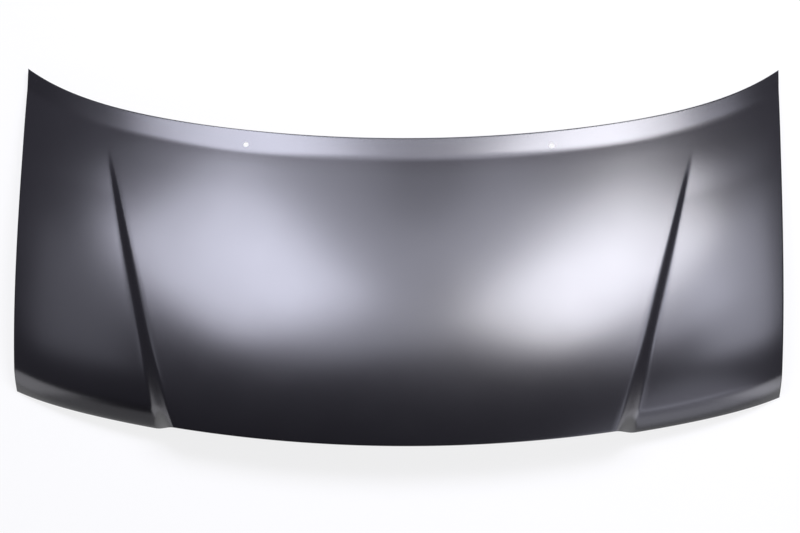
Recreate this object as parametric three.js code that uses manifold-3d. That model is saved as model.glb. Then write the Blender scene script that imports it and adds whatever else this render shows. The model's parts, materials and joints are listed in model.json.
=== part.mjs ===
// Car bonnet of a short-nosed van, outer side up, lying as it comes to rest.
// Millimetres. X to the right, Y towards the windscreen, Z up.
// A pressed outer panel is hemmed round a pressed inner frame, which carries the hinge plates,
// the latch reinforcement with its striker, the prop-rod seat and pads of mastic under the panel.
import * as THREE from 'three';
import { mergeVertices } from 'three/addons/utils/BufferGeometryUtils.js';
import Module from 'manifold-3d';

const wasm = await Module();
wasm.setup();

// Plan of the panel
const HALF_WIDTH = 750;        // half the width across the rear corners
const LENGTH = 783;            // front edge's middle to the rear corners
const FRONT_BOW = 119;         // how far the front edge sweeps back to its corners
const FRONT_CORNER = 20;       // extra sweep of the last stretch at each front corner
const REAR_SWEEP = 127;        // round part of the rear edge's hollow
const REAR_HORN = 52;          // drawn-out part of the rear edge, at the corners alone
const HORN_POWER = 7;          // how late that part sets in towards a corner
const CORNER_POWER = 12;       // the same for the front corners
const SIDE_TAPER = 41;         // how much further in each side edge lies at the front

// Height of the panel
const CROWN = 44;              // fall from the middle to the side edges, as one arch
const SIDE_TURN = 13.5;        // extra fall where the sides turn down
const TURN_POWER = 8;          // how late that fall sets in
const NOSE_DROP = 54;          // fall of the nose at the front edge
const NOSE_REACH = 162;        // length over which the nose turns down
const REAR_FALL = 0.03;        // slope down to the rear, per mm
const REAR_BEND = 0.00009;     // growth of that slope, per square mm
const STRIP_WIDTH = 43;        // strip behind the concave crease at the rear edge
const STRIP_KICK = 0.156;      // slope by which that strip kicks up
const CREASE_SOFT = 8;         // half the width of that crease's fillet

// Raised middle and its two walls
const WALL_FRONT_X = 0.5293 * HALF_WIDTH;  // half width of the raised middle at the front edge
const WALL_REAR_X = 0.7487 * HALF_WIDTH;   // half width where the walls run out
const WALL_END = 0.86;         // share of the length at which the walls run out
const WALL_WIDE = 28;          // width of a wall at the front edge
const WALL_NARROW = 7;         // width of a wall where it runs out
const WALL_STEEP = 0.333;      // height of a wall as a share of its width, along most of it
const FRONT_STEEP = 0.333;     // extra share at the front edge
const STEEP_REACH = 0.1;       // share of the length over which that extra fades
const WALL_FADE = 0.2;         // share over which a wall's height tails off where it runs out
const MIDDLE_LIFT = 14.5;      // rise of the middle at the front edge
const LIFT_POWER = 1.6;        // how that rise fades towards the rear
const DIP_REACH = 285;         // length over which the dip beside a wall fades
const LIP_DROP = 15;           // fall of the rolled lip at the front corners
const LIP_REACH = 38;          // width of the rolled lip at the front corners
const LIP_DROP_IN = 14;        // fall of the lip beside the wall
const LIP_REACH_IN = 36;       // width of the lip beside the wall

// Sheets and the hem
const SKIN = 0.8;              // outer panel's sheet
const FRAME_SHEET = 0.7;       // inner frame's sheet
const HEM_RETURN = 11;         // length of the folded-back flange
const HEM_DEPTH = 3;           // outer height of the folded edge
const HEM_NOSE = 1.5;          // how far the fold bulges out
const SHEET_GAP = 0.35;        // clearance between sheets in the hem
const HEM_FLANGE_IN = 2;       // frame's flange edge, from the panel's edge
const HEM_START_IN = 0.3;      // start of the folded-back flange, from the panel's edge
const FIRST_RING = 12;         // first grid line inside the edge

// Inner frame
const RIM_FLOOR_IN = 26;       // where the rim channel's floor starts, from the edge
const RIM_MIDDLE_IN = 60;      // middle line of the rim channel
const RIB_DEPTH = 21;          // depth of the ribs under the skin at the middle
const RIB_DEPTH_SIDE = 11;     // depth of the ribs at the side edges
const RIB_HALF_FLOOR = 18;     // half the width of a rib's floor
const RIB_WALL_RUN = 10;       // run of a rib's sloping wall
const RIB_FLANGE = 14;         // flange round each cut-out
const FLANGE_DEPTH = 4;        // depth of those flanges under the skin's outer side
const FLOOR_SQUARENESS = 9;    // how square the corners of a cut-out's floor line are
const WALL_SQUARENESS = 6;     // the same at the top of its wall
const EDGE_SQUARENESS = 5;     // the same at its free edge

// Holes
const JET_X = 0.393 * HALF_WIDTH;  // washer-jet holes, from the middle
const JET_IN = 29.5;           // washer-jet holes, from the rear edge
const JET_BORE = 10;
const JET_ACCESS_BORE = 30;
const JET_ACCESS_BACK = 4;     // the access hole sits this much nearer the rear edge
const BORE_REACH = 60;         // length of a cutter that goes through one sheet
const BORE_SIDES = 18;
const SKIN_REACH = 30;         // cutters of the jet holes, which must miss the hem
const ACCESS_REACH = 90;       // cutters of the access holes under them
const PLATE_REACH = 12;        // cutters of the bolt holes, which must miss the outer panel
const STOP_X = HALF_WIDTH - 140;   // bump-stop holes in the frame
const STOP_IN = 66;
const STOP_BORE = 12;
const TOOLING_BORE = 20;       // tooling holes in the rear cross member
const TOOLING_X = 110;
const TOOLING_IN = 58;

// Hinge plates
const HINGE_X = HALF_WIDTH - 112;
const HINGE_IN = 54;           // middle of the plate, from the rear edge
const HINGE_LONG = 92;
const HINGE_WIDE = 40;
const HINGE_THICK = 2.5;
const HINGE_CORNER = 9;
const CORNER_SIDES = 5;         // sides of each rounded corner of a plate
const HINGE_BOLT_SPACING = 54;
const HINGE_SINK = 3;          // how far the frame's pad is pressed down for the plate
const PAD_HALF_X = 66;
const PAD_HALF_Y = 42;
const PAD_FADE = 34;

// Latch and striker
const LATCH_IN = 62;           // middle of the latch pad, from the front edge
const LATCH_DEPTH = 37;        // depth of the level pad under the skin there
const LATCH_LONG = 150;
const LATCH_WIDE = 56;
const LATCH_THICK = 2;
const LATCH_CORNER = 12;
const LATCH_PAD_HALF_X = 92;
const LATCH_PAD_HALF_Y = 46;
const LATCH_FADE = 40;
const STRIKER_LONG = 126;
const STRIKER_WIDE = 34;
const STRIKER_THICK = 3;
const STRIKER_CORNER = 8;
const STRIKER_BOLT_SPACING = 100;
const WIRE = 8;                // striker wire's diameter
const LOOP_WIDE = 34;          // between the wire's middle lines
const LOOP_DROP = 44;
const LOOP_FOOT = 13;          // length of each welded foot
const FOOT_FLAT = 4;           // straight end of a foot
const FOOT_BEND = 9;           // depth at which the wire has turned down
const WIRE_STEPS = 36;         // stations along the wire
const WIRE_SIDES = 5;          // sides of each quarter of the wire

// Fasteners
const THREAD = 8;
const HOLE = 9.2;              // bolt holes in plates and frame
const NUT_FLATS = 13;
const NUT_HIGH = 6.5;
const NUT_BORE = 8.7;
const NUT_SIDES = 7;            // sides of each part of a nut's bore
const HEAD_HIGH = 5.5;
const WASHER_WIDE = 17;
const WASHER_THICK = 1.6;
const FIT = 0.35;              // gap between parts that touch
const BOLT_REACH = 2;          // how far a bolt stands out of its nut
const BOLT_ROOT = 1;            // how far the shank reaches into the head
const BOLT_SIDES = 12;
const WASHER_SIDES = 16;

// Prop-rod seat
const PROP_X = HALF_WIDTH - 209;
const PROP_IN = 62;
const PROP_LONG = 46;
const PROP_WIDE = 30;
const PROP_THICK = 1.5;
const PROP_CORNER = 8;
const PROP_BORE = 14;
const PROP_SINK = 2.5;         // how far the frame's pad is pressed down for the seat
const PROP_PAD_HALF_X = 42;
const PROP_PAD_HALF_Y = 28;
const PROP_FADE = 30;

// Mastic pads
const MASTIC_THICK = 2;
const MASTIC_INSET = 0.2;      // share of the flange left free on each side of a pad

const coat = { color: 0x1f1e21, roughness: 0.38, metalness: 0.0 };
const zinc = { color: 0xa8a9a6, roughness: 0.4, metalness: 1.0 };
const mastic = { color: 0x3a3a3c, roughness: 0.9, metalness: 0.0 };

const bonnet = new THREE.Group();
bonnet.name = 'car_bonnet';

function material(look) {
  const { color, roughness, metalness } = look;
  return new THREE.MeshStandardMaterial({ color, roughness, metalness });
}

function addPart(name, geometry, look, parent = bonnet) {
  const mesh = new THREE.Mesh(geometry, material(look));
  mesh.name = name;
  parent.add(mesh);
  return mesh;
}

const clamp = THREE.MathUtils.clamp;
const lerp = THREE.MathUtils.lerp;
const smooth = (w) => w * w * (3 - 2 * w);

// Outline of the panel in plan

function frontEdge(x) {
  const u = Math.abs(x) / HALF_WIDTH;
  return -LENGTH / 2 + FRONT_BOW * u ** 2 + FRONT_CORNER * u ** CORNER_POWER;
}

function rearEdge(x) {
  const u = Math.abs(x) / HALF_WIDTH;
  return LENGTH / 2 - REAR_SWEEP * (1 - u ** 2) - REAR_HORN * (1 - u ** HORN_POWER);
}

function halfWidth(v) {
  return HALF_WIDTH - SIDE_TAPER * (1 - v);
}

function wallTop(v) {
  return lerp(WALL_FRONT_X, WALL_REAR_X, Math.min(v / WALL_END, 1));
}

function wallFoot(v) {
  return wallTop(v) + lerp(WALL_WIDE, WALL_NARROW, Math.min(v / WALL_END, 1));
}

// Height of the outer surface over a point of the plan
function height(x, y) {
  const a = Math.abs(x);
  const u = a / HALF_WIDTH;
  const d = y - frontEdge(x);
  const toRear = rearEdge(x) - y;
  const v = clamp(d / (d + toRear), 0, 1);
  const arch = CROWN * (1 - u ** 2) + SIDE_TURN * (1 - u ** TURN_POWER);
  const along = NOSE_DROP * (1 - Math.exp(-d / NOSE_REACH)) - REAR_FALL * d - REAR_BEND * d * d;
  const left = clamp(1 - v / WALL_END, 0, 1);
  const lift = MIDDLE_LIFT * left ** LIFT_POWER;
  const top = wallTop(v);
  const foot = wallFoot(v);
  const steep = WALL_STEEP + FRONT_STEEP * Math.exp(-v / STEEP_REACH);
  const wall = steep * (foot - top) * smooth(clamp(left / WALL_FADE, 0, 1));
  const across = smooth(clamp((a - top) / (foot - top), 0, 1));
  const beside = (lift - wall) * Math.exp(-Math.max(a - foot, 0) / DIP_REACH);
  const relief = across < 1 ? lift - wall * across : beside;
  const out = clamp((a - foot) / (halfWidth(v) - foot), 0, 1);
  const reach = lerp(LIP_REACH_IN, LIP_REACH, out);
  const lip = lerp(LIP_DROP_IN, LIP_DROP, out) * clamp(1 - d / reach, 0, 1) ** 2 * across;
  const behind = STRIP_WIDTH - toRear;
  const fillet = clamp(behind + CREASE_SOFT, 0, 2 * CREASE_SOFT) ** 2 / (4 * CREASE_SOFT);
  const kick = STRIP_KICK * (fillet + Math.max(behind - CREASE_SOFT, 0));
  return arch + along + relief - lip + kick;
}

function normalAt(x, y) {
  const step = 1.5;
  const slopeX = (height(x + step, y) - height(x - step, y)) / (2 * step);
  const slopeY = (height(x, y + step) - height(x, y - step)) / (2 * step);
  return new THREE.Vector3(-slopeX, -slopeY, 1).normalize();
}

// Grid over the panel: columns follow the walls and the sides, rows follow the front and rear edges

const DOME_COLUMNS = 7;
const WALL_COLUMNS = 3;
const SIDE_COLUMNS = 3;
const MIDDLE_ROWS = 6;
const CHANNEL_ROW = (RIM_FLOOR_IN + RIM_MIDDLE_IN) / 2 - 3;
const NOSE_ROWS = [1.42, 1.92, 2.5].map((share) => share * RIM_MIDDLE_IN);
const FRONT_ROWS = [0, FIRST_RING, RIM_FLOOR_IN, CHANNEL_ROW, RIM_MIDDLE_IN, ...NOSE_ROWS];
const REAR_ROWS = [RIM_MIDDLE_IN, STRIP_WIDTH, RIM_FLOOR_IN, FIRST_RING, 0];
const SIDE_RINGS = [RIM_MIDDLE_IN, RIM_FLOOR_IN, FIRST_RING, 0];

function halfColumns() {
  const columns = [];
  for (let i = 0; i < DOME_COLUMNS; i += 1) {
    columns.push((v) => wallTop(v) * i / DOME_COLUMNS);
  }
  for (let i = 0; i < WALL_COLUMNS; i += 1) {
    columns.push((v) => lerp(wallTop(v), wallFoot(v), i / WALL_COLUMNS));
  }
  for (let i = 0; i < SIDE_COLUMNS; i += 1) {
    columns.push((v) => lerp(wallFoot(v), halfWidth(v) - RIM_MIDDLE_IN, i / SIDE_COLUMNS));
  }
  for (const ring of SIDE_RINGS) {
    columns.push((v) => halfWidth(v) - ring);
  }
  return columns;
}

function allRows() {
  const rows = FRONT_ROWS.map((inset) => (x) => frontEdge(x) + inset);
  const first = FRONT_ROWS[FRONT_ROWS.length - 1];
  for (let j = 1; j < MIDDLE_ROWS; j += 1) {
    rows.push((x) => lerp(frontEdge(x) + first, rearEdge(x) - REAR_ROWS[0], j / MIDDLE_ROWS));
  }
  for (const inset of REAR_ROWS) {
    rows.push((x) => rearEdge(x) - inset);
  }
  return rows;
}

const half = halfColumns();
const rows = allRows();
const HALF = half.length - 1;
const NX = 2 * HALF;
const NY = rows.length - 1;

// Plan point where a column crosses a row, found by a few rounds of substitution
function crossing(i, j) {
  const side = Math.sign(i - HALF);
  const column = half[Math.abs(i - HALF)];
  let v = j / NY;
  let x = 0;
  let y = 0;
  for (let round = 0; round < 12; round += 1) {
    x = side * column(v);
    y = rows[j](x);
    v = clamp((y - frontEdge(x)) / (rearEdge(x) - frontEdge(x)), 0, 1);
  }
  return new THREE.Vector2(x, y);
}

const plan = rows.map((_, j) => Array.from({ length: NX + 1 }, (__, i) => crossing(i, j)));

function onSkin(p) {
  return new THREE.Vector3(p.x, p.y, height(p.x, p.y));
}

// Point under the skin, at a depth measured square to it
function underSkin(p, depth) {
  const n = normalAt(p.x, p.y);
  return new THREE.Vector3(p.x, p.y, height(p.x, p.y) - depth / Math.max(n.z, 0.4));
}

// Closed sheet: the given surface, a copy of it moved inwards by the thickness, and its rims
function thicken(points, quads, thickness) {
  const faces = [];
  for (const [a, b, c, d] of quads) {
    if (points[a].distanceTo(points[c]) < points[b].distanceTo(points[d])) {
      faces.push([a, b, c], [a, c, d]);
    } else {
      faces.push([a, b, d], [b, c, d]);
    }
  }
  const normals = points.map(() => new THREE.Vector3());
  const ab = new THREE.Vector3();
  const ac = new THREE.Vector3();
  for (const [a, b, c] of faces) {
    ab.subVectors(points[b], points[a]);
    ac.subVectors(points[c], points[a]);
    ab.cross(ac);
    for (const k of [a, b, c]) {
      normals[k].add(ab);
    }
  }
  const count = points.length;
  const inner = points.map((p, k) => p.clone().addScaledVector(normals[k].normalize(), -thickness));
  const index = [];
  const edges = new Map();
  for (const [a, b, c] of faces) {
    index.push(a, b, c, a + count, c + count, b + count);
    for (const [from, to] of [[a, b], [b, c], [c, a]]) {
      edges.set(`${from},${to}`, [from, to]);
    }
  }
  for (const [from, to] of edges.values()) {
    if (!edges.has(`${to},${from}`)) {
      index.push(to, from, from + count, to, from + count, to + count);
    }
  }
  const geometry = new THREE.BufferGeometry();
  const coordinates = [...points, ...inner].flatMap((p) => [p.x, p.y, p.z]);
  geometry.setAttribute('position', new THREE.Float32BufferAttribute(coordinates, 3));
  geometry.setIndex(index);
  return geometry;
}

// Solids for joining and cutting

function solid(geometry) {
  const bare = geometry.clone();
  bare.deleteAttribute('normal');
  bare.deleteAttribute('uv');
  const merged = mergeVertices(bare, 1e-4);
  return new wasm.Manifold(new wasm.Mesh({
    numProp: 3,
    vertProperties: new Float32Array(merged.attributes.position.array),
    triVerts: new Uint32Array(merged.index.array),
  }));
}

function toGeometry(body) {
  const mesh = body.getMesh();
  const geometry = new THREE.BufferGeometry();
  geometry.setAttribute('position', new THREE.BufferAttribute(new Float32Array(mesh.vertProperties), 3));
  geometry.setIndex(new THREE.BufferAttribute(new Uint32Array(mesh.triVerts), 1));
  return geometry;
}

// Round cutter along a direction through a point
function drill(point, direction, bore, reach = BORE_REACH, sides = BORE_SIDES) {
  const geometry = new THREE.CylinderGeometry(bore / 2, bore / 2, reach, sides);
  const turn = new THREE.Quaternion().setFromUnitVectors(new THREE.Vector3(0, 1, 0), direction);
  geometry.applyQuaternion(turn);
  geometry.translate(point.x, point.y, point.z);
  return geometry;
}

function cut(geometry, cutters) {
  let body = solid(geometry);
  for (const cutter of cutters) {
    body = body.subtract(solid(cutter));
  }
  return toGeometry(body);
}

// The loop of grid nodes round the panel, counter-clockwise seen from above
function rimLoop() {
  const loop = [];
  for (let i = 0; i < NX; i += 1) loop.push([i, 0]);
  for (let j = 0; j < NY; j += 1) loop.push([NX, j]);
  for (let i = NX; i > 0; i -= 1) loop.push([i, NY]);
  for (let j = NY; j > 0; j -= 1) loop.push([0, j]);
  return loop;
}

// Point of the hem: inset from the edge towards the first ring, and depth square to the skin
function hemPoint([i, j], inset, depth) {
  const edge = onSkin(plan[j][i]);
  const ring = onSkin(plan[clamp(j, 1, NY - 1)][clamp(i, 1, NX - 1)]);
  const middle = edge.clone().lerp(ring, 0.5);
  const n = normalAt(middle.x, middle.y);
  return edge.clone().lerp(ring, inset / FIRST_RING).addScaledVector(n, -depth);
}

function jetPoint(side) {
  const x = side * JET_X;
  return onSkin(new THREE.Vector2(x, rearEdge(x) - JET_IN));
}

// Outer panel: skin, folded edge and the flange folded back under the frame, one sheet
function outerPanel() {
  const points = [];
  const quads = [];
  const at = (i, j) => j * (NX + 1) + i;
  for (let j = 0; j <= NY; j += 1) {
    for (let i = 0; i <= NX; i += 1) {
      points.push(onSkin(plan[j][i]));
      if (i < NX && j < NY) {
        quads.push([at(i, j), at(i + 1, j), at(i + 1, j + 1), at(i, j + 1)]);
      }
    }
  }
  const loop = rimLoop();
  const round = [Math.PI / 4, Math.PI / 2, 3 * Math.PI / 4];
  const fold = [
    ...round.map((angle) => [-HEM_NOSE * Math.sin(angle), HEM_DEPTH * (1 - Math.cos(angle)) / 2]),
    [HEM_START_IN, HEM_DEPTH],
    [HEM_RETURN, HEM_DEPTH],
  ];
  let last = loop.map(([i, j]) => at(i, j));
  for (const [inset, depth] of fold) {
    const start = points.length;
    points.push(...loop.map((node) => hemPoint(node, inset, depth)));
    const next = loop.map((_, k) => start + k);
    for (let k = 0; k < loop.length; k += 1) {
      const m = (k + 1) % loop.length;
      quads.push([next[k], next[m], last[m], last[k]]);
    }
    last = next;
  }
  const sheet = thicken(points, quads, SKIN);
  const up = new THREE.Vector3(0, 0, 1);
  const holes = [-1, 1].map((side) => drill(jetPoint(side), up, JET_BORE, SKIN_REACH));
  addPart('outer_panel', cut(sheet, holes), coat);
}

// Pads of the frame: a tangent plane pressed down for each hinge plate, a level plane for the latch

function ribDepth(x) {
  return lerp(RIB_DEPTH, RIB_DEPTH_SIDE, Math.min((x / HALF_WIDTH) ** 2, 1));
}

function tangentPad(x, y, sink, halfX, halfY, fade) {
  const normal = normalAt(x, y);
  const point = new THREE.Vector3(x, y, height(x, y) - (ribDepth(x) + sink) / normal.z);
  return { point, normal, halfX, halfY, fade };
}

function hingePad(side) {
  const x = side * HINGE_X;
  return tangentPad(x, rearEdge(x) - HINGE_IN, HINGE_SINK, PAD_HALF_X, PAD_HALF_Y, PAD_FADE);
}

function propPad() {
  const y = frontEdge(PROP_X) + PROP_IN;
  return tangentPad(-PROP_X, y, PROP_SINK, PROP_PAD_HALF_X, PROP_PAD_HALF_Y, PROP_FADE);
}

function latchPad() {
  const y = frontEdge(0) + LATCH_IN;
  const point = new THREE.Vector3(0, y, height(0, y) - LATCH_DEPTH);
  const normal = new THREE.Vector3(0, 0, 1);
  return { point, normal, halfX: LATCH_PAD_HALF_X, halfY: LATCH_PAD_HALF_Y, fade: LATCH_FADE };
}

const pads = { left: hingePad(-1), right: hingePad(1), latch: latchPad(), prop: propPad() };

function planeHeight(pad, x, y) {
  const { point, normal } = pad;
  return point.z - (normal.x * (x - point.x) + normal.y * (y - point.y)) / normal.z;
}

// Floor of the frame's channels and ribs, with the pads pressed into it
function framePoint(p, floor) {
  const point = underSkin(p, floor ? ribDepth(p.x) : FLANGE_DEPTH);
  if (floor) {
    for (const pad of Object.values(pads)) {
      const outX = clamp((Math.abs(p.x - pad.point.x) - pad.halfX) / pad.fade, 0, 1);
      const outY = clamp((Math.abs(p.y - pad.point.y) - pad.halfY) / pad.fade, 0, 1);
      const share = (1 - smooth(outX)) * (1 - smooth(outY));
      point.z = lerp(point.z, planeHeight(pad, p.x, p.y), share);
    }
  }
  return point;
}

// Cut-outs between the ribs, each given by the grid lines on which the ribs' middle lines lie
const RING = SIDE_RINGS.length - 1;
const FRONT_LINE = FRONT_ROWS.indexOf(RIM_MIDDLE_IN);
const REAR_LINE = NY - REAR_ROWS.length + 1;
const MIDDLE_LINE = Math.round((FRONT_LINE + REAR_LINE) / 2);
const RIB_COLUMN = Math.floor(DOME_COLUMNS / 2);
const WALL_COLUMN = DOME_COLUMNS;
const SIDE_COLUMN = HALF - RING;
const cells = [
  { name: 'middle', i0: HALF - RIB_COLUMN, i1: HALF + RIB_COLUMN, j0: FRONT_LINE, j1: REAR_LINE },
];
for (const side of [-1, 1]) {
  const span = (from, to) => (side > 0 ? [HALF + from, HALF + to] : [HALF - to, HALF - from]);
  const [a, b] = span(RIB_COLUMN, WALL_COLUMN);
  const [c, d] = span(WALL_COLUMN, SIDE_COLUMN);
  const tail = side > 0 ? 'right' : 'left';
  cells.push({ name: `front_${tail}`, i0: a, i1: b, j0: FRONT_LINE, j1: MIDDLE_LINE });
  cells.push({ name: `rear_${tail}`, i0: a, i1: b, j0: MIDDLE_LINE, j1: REAR_LINE });
  cells.push({ name: `outer_${tail}`, i0: c, i1: d, j0: FRONT_LINE, j1: REAR_LINE });
}

// Nodes round a cut-out's cell, each with its place across and along the cell from -1 to 1
function cellLoop({ i0, i1, j0, j1 }) {
  const nodes = [];
  for (let i = i0; i < i1; i += 1) nodes.push([i, j0]);
  for (let j = j0; j < j1; j += 1) nodes.push([i1, j]);
  for (let i = i1; i > i0; i -= 1) nodes.push([i, j1]);
  for (let j = j1; j > j0; j -= 1) nodes.push([i0, j]);
  return nodes.map(([i, j]) => {
    const p = plan[j][i];
    const west = plan[j][i0];
    const east = plan[j][i1];
    const south = plan[j0][i];
    const north = plan[j1][i];
    const across = 2 * (p.x - west.x) / (east.x - west.x) - 1;
    const along = 2 * (p.y - south.y) / (north.y - south.y) - 1;
    return { i, j, p, across, along };
  });
}

// Plan point of a ring inside a cell: moved in from the ribs' middle lines, its corners rounded
function ringPoint(cell, node, inset, power) {
  const corners = [[cell.i0, cell.j0], [cell.i1, cell.j0], [cell.i1, cell.j1], [cell.i0, cell.j1]];
  const at = corners.map(([i, j]) => plan[j][i]);
  const halfX = (at[1].x - at[0].x + at[2].x - at[3].x) / 4;
  const halfY = (at[3].y - at[0].y + at[2].y - at[1].y) / 4;
  const round = (Math.abs(node.across) ** power + Math.abs(node.along) ** power) ** (-1 / power);
  const a = (node.across * (1 - inset / halfX) * round + 1) / 2;
  const b = (node.along * (1 - inset / halfY) * round + 1) / 2;
  const low = at[0].clone().lerp(at[1], a);
  const high = at[3].clone().lerp(at[2], a);
  return low.lerp(high, b);
}

// Index of the rim node that a node on one of the two outermost rings belongs to
function clampToRim(k, last, ring) {
  if (k <= ring) return 0;
  return k >= last - ring ? last : k;
}

// Inner frame: rim channel, ribs and flanges, one pressed sheet
const flangeRings = {};

function innerFrame() {
  const points = [];
  const quads = [];
  const ids = new Map();
  const nodeId = (i, j) => {
    const key = j * (NX + 1) + i;
    if (!ids.has(key)) {
      const ring = Math.min(i, j, NX - i, NY - j);
      const onHem = ring < 2;
      const inset = ring === 0 ? HEM_FLANGE_IN : FIRST_RING;
      const edge = [clampToRim(i, NX, ring), clampToRim(j, NY, ring)];
      const point = onHem ? hemPoint(edge, inset, SKIN + SHEET_GAP) : framePoint(plan[j][i], true);
      ids.set(key, points.length);
      points.push(point);
    }
    return ids.get(key);
  };
  for (let j = 0; j < NY; j += 1) {
    for (let i = 0; i < NX; i += 1) {
      const inSideChannel = i < RING || i >= NX - RING;
      if (inSideChannel || j < FRONT_LINE || j >= REAR_LINE) {
        quads.push([nodeId(i, j), nodeId(i + 1, j), nodeId(i + 1, j + 1), nodeId(i, j + 1)]);
      }
    }
  }
  const steps = [
    [RIB_HALF_FLOOR, FLOOR_SQUARENESS, true],
    [RIB_HALF_FLOOR + RIB_WALL_RUN, WALL_SQUARENESS, false],
    [RIB_HALF_FLOOR + RIB_WALL_RUN + RIB_FLANGE, EDGE_SQUARENESS, false],
  ];
  for (const cell of cells) {
    const nodes = cellLoop(cell);
    let last = nodes.map((node) => nodeId(node.i, node.j));
    const rings = [];
    for (const [inset, power, floor] of steps) {
      const start = points.length;
      const ring = nodes.map((node) => framePoint(ringPoint(cell, node, inset, power), floor));
      points.push(...ring);
      rings.push(ring);
      const next = nodes.map((_, k) => start + k);
      for (let k = 0; k < nodes.length; k += 1) {
        const m = (k + 1) % nodes.length;
        quads.push([last[k], last[m], next[m], next[k]]);
      }
      last = next;
    }
    flangeRings[cell.name] = { outer: rings[1], inner: rings[2] };
  }
  const sheet = thicken(points, quads, FRAME_SHEET);
  addPart('inner_frame', cut(sheet, frameHoles()), coat);
}

function boltPoints(pad, spacing) {
  const along = new THREE.Vector3(1, 0, 0).addScaledVector(pad.normal, -pad.normal.x).normalize();
  return [-1, 1].map((side) => pad.point.clone().addScaledVector(along, side * spacing / 2));
}

function frameHoles() {
  const up = new THREE.Vector3(0, 0, 1);
  const cutters = [];
  for (const side of [-1, 1]) {
    const jet = jetPoint(side);
    jet.y += JET_ACCESS_BACK;
    cutters.push(drill(jet, up, JET_ACCESS_BORE, ACCESS_REACH));
    cutters.push(drill(rimPoint(side * STOP_X, STOP_IN, false), up, STOP_BORE));
    cutters.push(drill(rimPoint(side * TOOLING_X, TOOLING_IN, true), up, TOOLING_BORE));
  }
  cutters.push(drill(pads.prop.point, pads.prop.normal, PROP_BORE + 2 * FIT));
  for (const pad of [pads.left, pads.right]) {
    cutters.push(...boltPoints(pad, HINGE_BOLT_SPACING).map((p) => drill(p, pad.normal, HOLE, PLATE_REACH)));
  }
  cutters.push(...boltPoints(pads.latch, STRIKER_BOLT_SPACING).map((p) => drill(p, up, HOLE, PLATE_REACH)));
  return cutters;
}

// Point on the rim channel's floor
function rimPoint(x, inset, atRear) {
  const y = atRear ? rearEdge(x) - inset : frontEdge(x) + inset;
  return framePoint(new THREE.Vector2(x, y), true);
}

// Flat plate with round corners and holes, its upper face on the plane z = 0
function plateGeometry(long, wide, thick, corner, bores) {
  const shape = new THREE.Shape();
  const x = long / 2 - corner;
  const y = wide / 2 - corner;
  shape.absarc(x, y, corner, 0, Math.PI / 2);
  shape.absarc(-x, y, corner, Math.PI / 2, Math.PI);
  shape.absarc(-x, -y, corner, Math.PI, 1.5 * Math.PI);
  shape.absarc(x, -y, corner, 1.5 * Math.PI, 2 * Math.PI);
  for (const [bx, by, bore] of bores) {
    const hole = new THREE.Path();
    hole.absarc(bx, by, bore / 2, 0, 2 * Math.PI, true);
    shape.holes.push(hole);
  }
  const sweep = { depth: thick, bevelEnabled: false, curveSegments: CORNER_SIDES };
  const geometry = new THREE.ExtrudeGeometry(shape, sweep);
  geometry.translate(0, 0, -thick);
  return geometry;
}

// Group that stands on a pad with its Z axis along the pad's normal and X along the bolts
function padGroup(pad) {
  const group = new THREE.Group();
  const x = new THREE.Vector3(1, 0, 0).addScaledVector(pad.normal, -pad.normal.x).normalize();
  const y = new THREE.Vector3().crossVectors(pad.normal, x);
  group.quaternion.setFromRotationMatrix(new THREE.Matrix4().makeBasis(x, y, pad.normal));
  group.position.copy(pad.point);
  bonnet.add(group);
  return group;
}

function hexagon(flats, bore) {
  const shape = new THREE.Shape();
  const radius = flats / Math.sqrt(3);
  for (let k = 0; k < 6; k += 1) {
    const angle = k * Math.PI / 3;
    const method = k === 0 ? 'moveTo' : 'lineTo';
    shape[method](radius * Math.cos(angle), radius * Math.sin(angle));
  }
  shape.closePath();
  if (bore > 0) {
    const hole = new THREE.Path();
    hole.absarc(0, 0, bore / 2, 0, 2 * Math.PI, true);
    shape.holes.push(hole);
  }
  return shape;
}

function weldNut(name, x, group) {
  const geometry = new THREE.ExtrudeGeometry(hexagon(NUT_FLATS, NUT_BORE),
    { depth: NUT_HIGH, bevelEnabled: false, curveSegments: NUT_SIDES });
  addPart(name, geometry, zinc, group).position.set(x, 0, FIT);
}

function hingePlate(side) {
  const tail = side > 0 ? 'right' : 'left';
  const group = padGroup(pads[tail]);
  const bores = [-1, 1].map((end) => [end * HINGE_BOLT_SPACING / 2, 0, HOLE]);
  const plate = plateGeometry(HINGE_LONG, HINGE_WIDE, HINGE_THICK, HINGE_CORNER, bores);
  addPart(`hinge_plate_${tail}`, plate, coat, group).position.z = -FRAME_SHEET - FIT;
  weldNut(`hinge_nut_${tail}_inner`, -side * HINGE_BOLT_SPACING / 2, group);
  weldNut(`hinge_nut_${tail}_outer`, side * HINGE_BOLT_SPACING / 2, group);
}

// Flange bolt: hexagon head and washer face below the plate, plain shank up through it into the nut
function boltGeometry(shank) {
  const head = new THREE.ExtrudeGeometry(hexagon(NUT_FLATS, 0), { depth: HEAD_HIGH, bevelEnabled: false });
  head.translate(0, 0, -WASHER_THICK - HEAD_HIGH);
  const up = new THREE.Vector3(0, 0, 1);
  const low = new THREE.Vector3(0, 0, -WASHER_THICK / 2);
  const washer = drill(low, up, WASHER_WIDE, WASHER_THICK, WASHER_SIDES);
  const middle = new THREE.Vector3(0, 0, (shank - BOLT_ROOT) / 2);
  const stem = drill(middle, up, THREAD, shank + BOLT_ROOT, BOLT_SIDES);
  return toGeometry(solid(head).add(solid(washer)).add(solid(stem)));
}

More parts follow.
